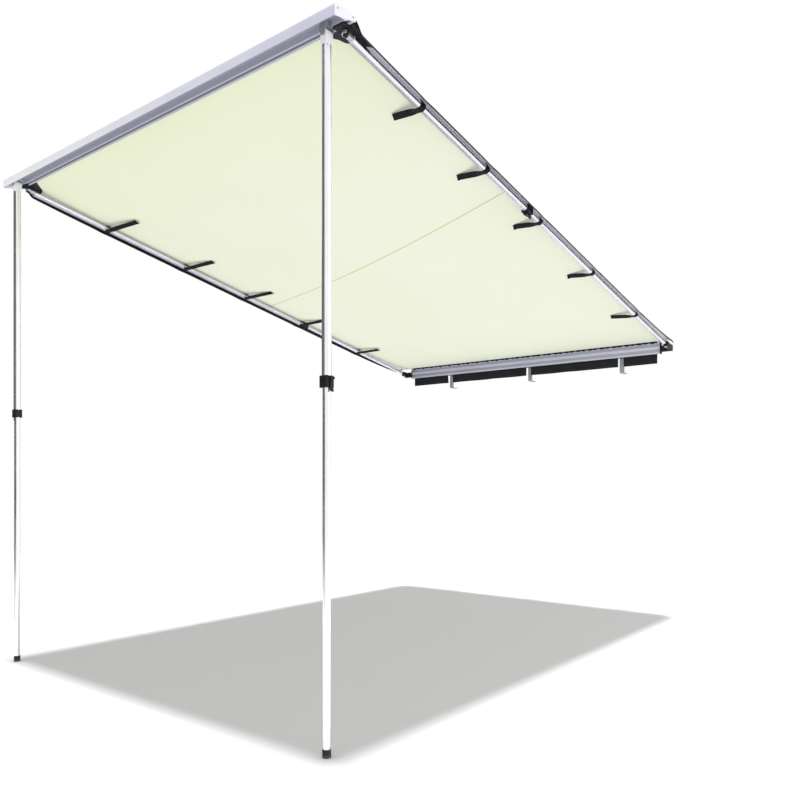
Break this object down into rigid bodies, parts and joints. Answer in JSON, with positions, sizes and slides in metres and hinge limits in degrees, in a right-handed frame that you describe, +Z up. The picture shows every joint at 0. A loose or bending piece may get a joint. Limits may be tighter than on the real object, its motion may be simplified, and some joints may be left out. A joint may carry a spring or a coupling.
{
  "type": "vehicle side awning",
  "caption": "Pull-out vehicle side awning, opened: cream canopy between an aluminium base rail and front rail, on telescopic arms and fold-down telescopic legs.",
  "frame": {"origin": "middle of the awning on the line of the roof rack's rail, at the undersides of the rear bracket feet", "axes": "+Z up, +Y from the canopy's front edge to the vehicle, +X to the right under the canopy, looking at the vehicle"},
  "size_m": [2.1, 3.0623, 2.2183],
  "materials": {
    "aluminium": "satin",
    "white_rail": "satin",
    "pale_casting": "matte",
    "black_plastic": "matte",
    "rubber": "matte",
    "steel": "brushed",
    "bracket_steel": "matte",
    "cream_cloth": "matte",
    "webbing": "matte",
    "cover_cloth": "satin"
  },
  "bodies": {
    "base": {"base_rail": "aluminium", "hinge_bracket_r": "black_plastic", "hinge_bracket_l": "black_plastic", "swing_pin_r": "steel", "swing_pin_l": "steel", "foot_bracket_1": "bracket_steel", "foot_bracket_2": "bracket_steel", "foot_bracket_3": "bracket_steel", "bracket_bolt_1": "steel", "bracket_bolt_2": "steel", "bracket_bolt_3": "steel", "transit_cover": "cover_cloth", "canopy": "cream_cloth", "strap_r1": "webbing", "strap_r2": "webbing", "strap_r3": "webbing", "strap_r4": "webbing", "strap_r5": "webbing", "strap_l1": "webbing", "strap_l2": "webbing", "strap_l3": "webbing", "strap_l4": "webbing", "strap_l5": "webbing"},
    "front": {"front_rail": "white_rail", "end_cap_r": "pale_casting", "end_cap_l": "pale_casting", "corner_bracket_r": "black_plastic", "corner_bracket_l": "black_plastic", "leg_clevis_r": "pale_casting", "leg_clevis_l": "pale_casting", "leg_pin_r": "steel", "leg_pin_l": "steel"},
    "right_arm_rear": {"rear_eye_r": "black_plastic", "rear_tube_r": "aluminium"},
    "right_arm_front": {"front_tube_r": "aluminium", "arm_collar_r": "black_plastic", "arm_hook_r": "pale_casting"},
    "right_arm_lever": {"arm_lever_r": "black_plastic"},
    "right_leg_upper": {"leg_head_r": "pale_casting", "leg_upper_r": "aluminium", "leg_collar_r": "black_plastic"},
    "right_leg_lower": {"leg_lower_r": "aluminium", "leg_foot_r": "rubber"},
    "right_leg_lever": {"leg_lever_r": "black_plastic"},
    "left_arm_rear": {"rear_eye_l": "black_plastic", "rear_tube_l": "aluminium"},
    "left_arm_front": {"front_tube_l": "aluminium", "arm_collar_l": "black_plastic", "arm_hook_l": "pale_casting"},
    "left_arm_lever": {"arm_lever_l": "black_plastic"},
    "left_leg_upper": {"leg_head_l": "pale_casting", "leg_upper_l": "aluminium", "leg_collar_l": "black_plastic"},
    "left_leg_lower": {"leg_lower_l": "aluminium", "leg_foot_l": "rubber"},
    "left_leg_lever": {"leg_lever_l": "black_plastic"}
  },
  "joints": [
    {"name": "canopy_slide", "type": "slide", "parent": "base", "child": "front", "axis": [0, 0.9815, -0.1917], "range_m": [0, 0.97], "deforming": ["canopy", "strap_r1", "strap_r2", "strap_r3", "strap_r4", "strap_r5", "strap_l1", "strap_l2", "strap_l3", "strap_l4", "strap_l5"]},
    {"name": "right_arm_swing", "type": "hinge", "parent": "base", "child": "right_arm_rear", "pos_m": [1.006, -0.1203, 0.13811], "axis": [0.0279, -0.1916, -0.9811], "range_deg": [0, 90]},
    {"name": "right_arm_slide", "type": "slide", "parent": "right_arm_rear", "child": "right_arm_front", "axis": [0, 0.9815, -0.1917], "range_m": [0, 0.97]},
    {"name": "right_arm_lock", "type": "hinge", "parent": "right_arm_front", "child": "right_arm_lever", "pos_m": [1.00664, -1.8275, 0.44808], "axis": [0.9996, 0.0054, 0.0274], "range_deg": [-100, 0]},
    {"name": "right_leg_fold", "type": "hinge", "parent": "front", "child": "right_leg_upper", "pos_m": [0.9625, -2.9753, 0.68533], "axis": [0, 1, 0], "range_deg": [0, 89]},
    {"name": "right_leg_slide", "type": "slide", "parent": "right_leg_upper", "child": "right_leg_lower", "axis": [0, 0, 1], "range_m": [0, 0.86]},
    {"name": "right_leg_lock", "type": "hinge", "parent": "right_leg_upper", "child": "right_leg_lever", "pos_m": [0.985, -2.9753, -0.3525], "axis": [0, 1, 0], "range_deg": [-100, 0]},
    {"name": "left_arm_swing", "type": "hinge", "parent": "base", "child": "left_arm_rear", "pos_m": [-1.006, -0.0823, 0.13069], "axis": [0.0279, 0.1916, 0.9811], "range_deg": [0, 90]},
    {"name": "left_arm_slide", "type": "slide", "parent": "left_arm_rear", "child": "left_arm_front", "axis": [0, 0.9815, -0.1917], "range_m": [0, 0.97]},
    {"name": "left_arm_lock", "type": "hinge", "parent": "left_arm_front", "child": "left_arm_lever", "pos_m": [-1.00664, -1.1565, 0.31704], "axis": [0.9996, -0.0054, -0.0274], "range_deg": [-100, 0]},
    {"name": "left_leg_fold", "type": "hinge", "parent": "front", "child": "left_leg_upper", "pos_m": [-0.9625, -3.0093, 0.68533], "axis": [0, -1, 0], "range_deg": [0, 89]},
    {"name": "left_leg_slide", "type": "slide", "parent": "left_leg_upper", "child": "left_leg_lower", "axis": [0, 0, 1], "range_m": [0, 0.86]},
    {"name": "left_leg_lock", "type": "hinge", "parent": "left_leg_upper", "child": "left_leg_lever", "pos_m": [-0.985, -3.0093, -0.3525], "axis": [0, -1, 0], "range_deg": [-100, 0]}
  ],
  "couplings": [
    {"joint": "right_arm_slide", "follows": "canopy_slide", "ratio": 1},
    {"joint": "left_arm_slide", "follows": "canopy_slide", "ratio": 1}
  ]
}
